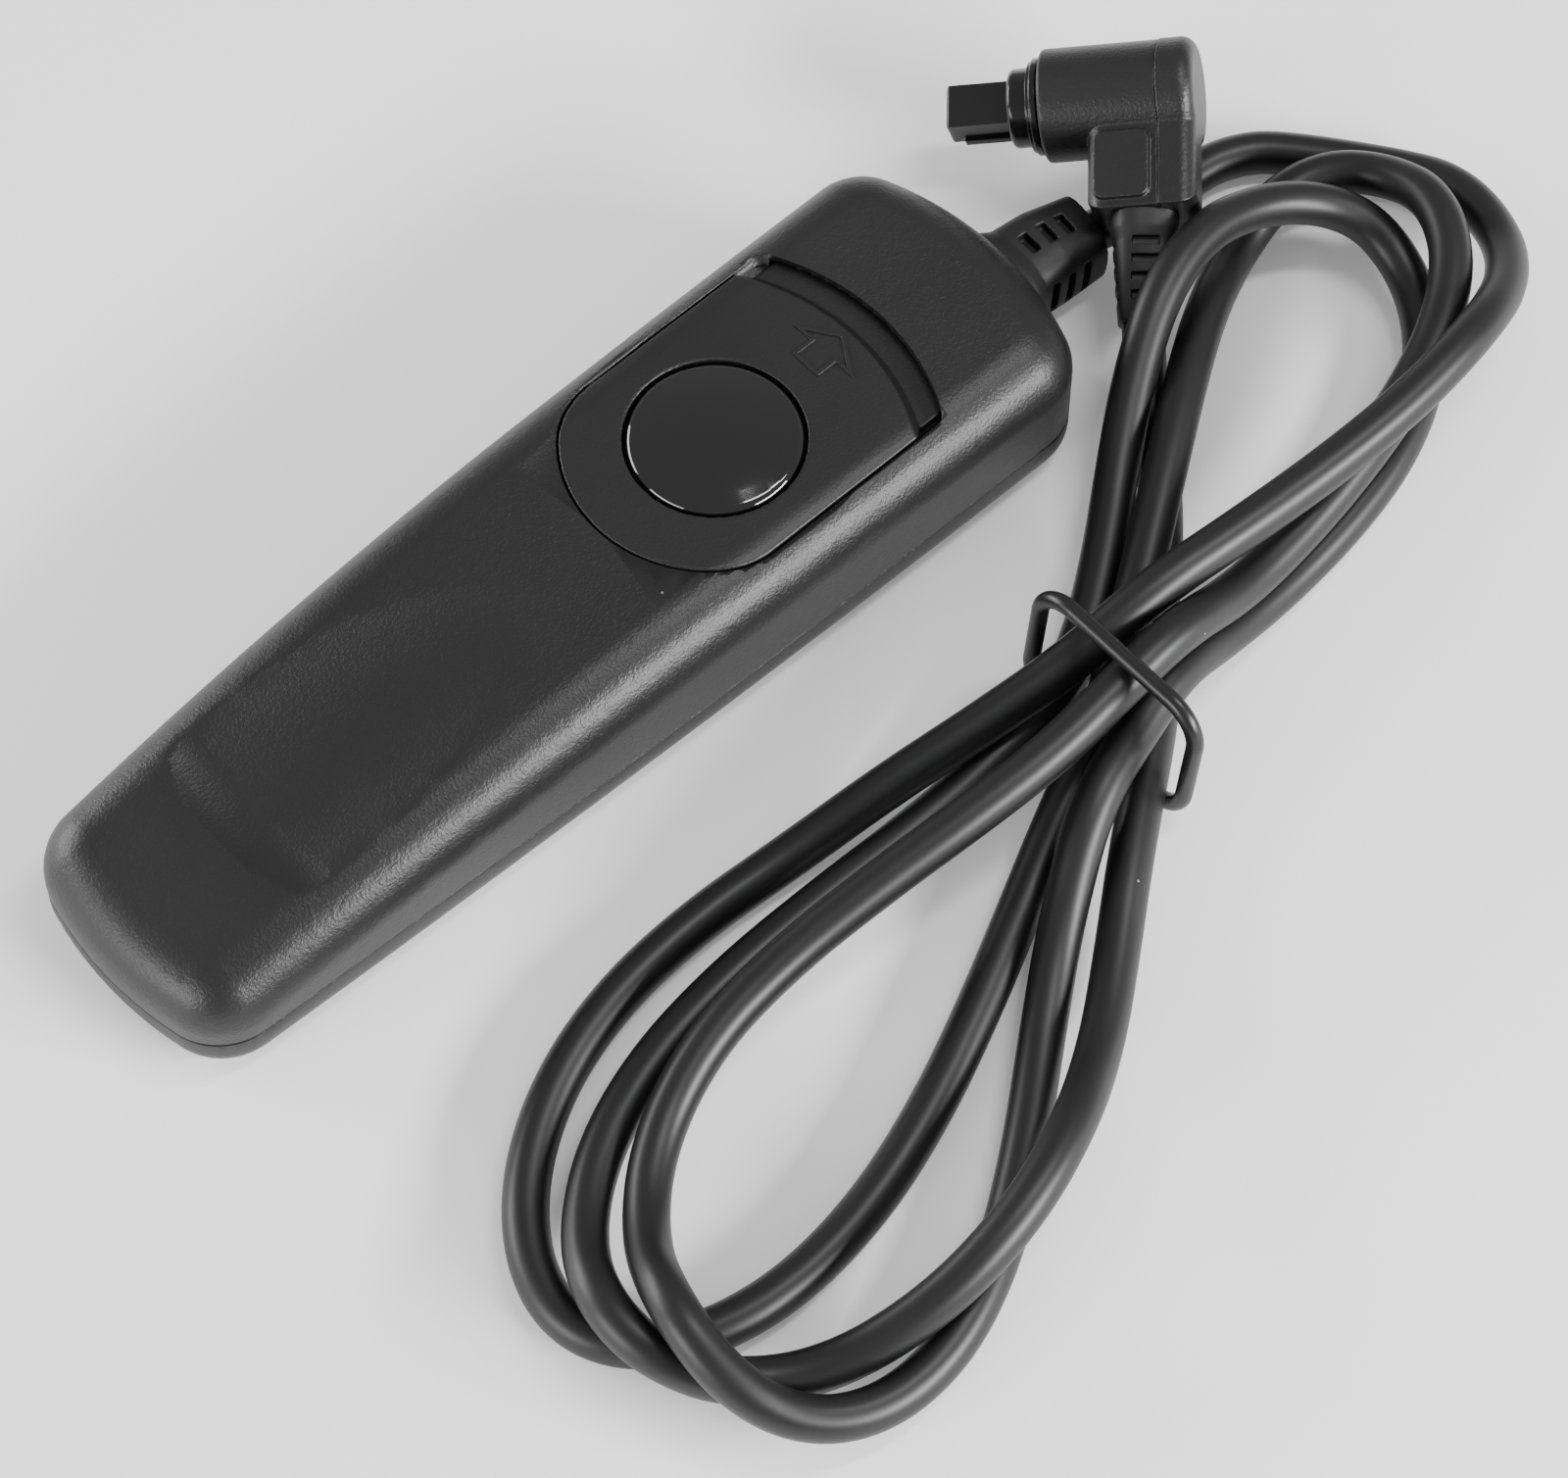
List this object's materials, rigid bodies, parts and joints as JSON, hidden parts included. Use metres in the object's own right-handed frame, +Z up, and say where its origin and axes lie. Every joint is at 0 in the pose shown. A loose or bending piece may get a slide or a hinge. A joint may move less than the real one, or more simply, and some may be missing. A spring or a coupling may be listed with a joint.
{
  "type": "wired shutter release remote",
  "caption": "Hand-held wired release: dark grip with thumb hollow, sliding lock plate and domed two-stage button, thin cord in a tied hank, right-angle plug.",
  "frame": {"origin": "centre of the grip's length and width on the floor under its flat bottom", "axes": "+X along the grip towards the cord end, +Y to the grip's left seen from its tail, +Z up out of the button"},
  "size_m": [0.1483, 0.0936, 0.0178],
  "materials": {
    "shell": "fine matt texture",
    "slider": "smooth satin",
    "button": "polished dome",
    "inner_plastic": "moulded, plain",
    "spacer_plastic": "pressed insulating board",
    "spring_steel": "drawn wire",
    "contact_metal": "rolled strip",
    "screw_steel": "zinc plated",
    "solder": "dull domes",
    "wire_insulation": "thin coloured insulation",
    "clamp_metal": "pressed strip",
    "relief_rubber": "matt moulded",
    "plug_plastic": "fine spark texture",
    "plug_insulator": "smooth",
    "collar_plastic": "polished",
    "tie_rubber": "soft matt",
    "cord_rubber": "smooth satin jacket"
  },
  "bodies": {
    "grip": {"upper_shell": "shell", "lower_shell": "shell", "detent_spring": "spring_steel", "contact_base": "inner_plastic", "full_press_leaf": "contact_metal", "half_press_leaf": "contact_metal", "common_leaf": "contact_metal", "leaf_spacers": "spacer_plastic", "contact_screws": "screw_steel", "solder_joints": "solder", "lead_wires": "wire_insulation", "cord_clamp": "clamp_metal", "clamp_screws": "screw_steel", "cord_jacket_end": "cord_rubber", "case_screws": "screw_steel", "handle_strain_relief": "relief_rubber", "plug_housing": "plug_plastic", "plug_rear_cover": "plug_plastic", "plug_contact_block": "plug_insulator", "plug_contacts": "contact_metal", "plug_collar_spring": "spring_steel", "plug_strain_relief": "relief_rubber", "cord_tie": "tie_rubber", "cord_lead": "cord_rubber", "cord_hank": "cord_rubber", "cord_tail": "cord_rubber"},
    "lock": {"lock_slider": "slider", "slider_retainer": "inner_plastic", "return_spring": "spring_steel"},
    "button": {"release_button": "button"},
    "collar": {"plug_collar": "collar_plastic"}
  },
  "joints": [
    {"name": "lock_slide", "type": "slide", "parent": "grip", "child": "lock", "axis": [1, 0, 0], "range_m": [0, 0.0022], "deforming": ["detent_spring"]},
    {"name": "button_press", "type": "slide", "parent": "lock", "child": "button", "axis": [0, 0, -1], "range_m": [0, 0.002], "stiffness_N_per_m": 600, "springref_m": -0.0006, "deforming": ["return_spring", "common_leaf", "half_press_leaf", "full_press_leaf"]},
    {"name": "collar_slide", "type": "slide", "parent": "grip", "child": "collar", "axis": [0.6707, -0.7068, 0.225], "range_m": [0, 0.0012], "stiffness_N_per_m": 400, "springref_m": -0.0003, "deforming": ["plug_collar_spring"]}
  ]
}
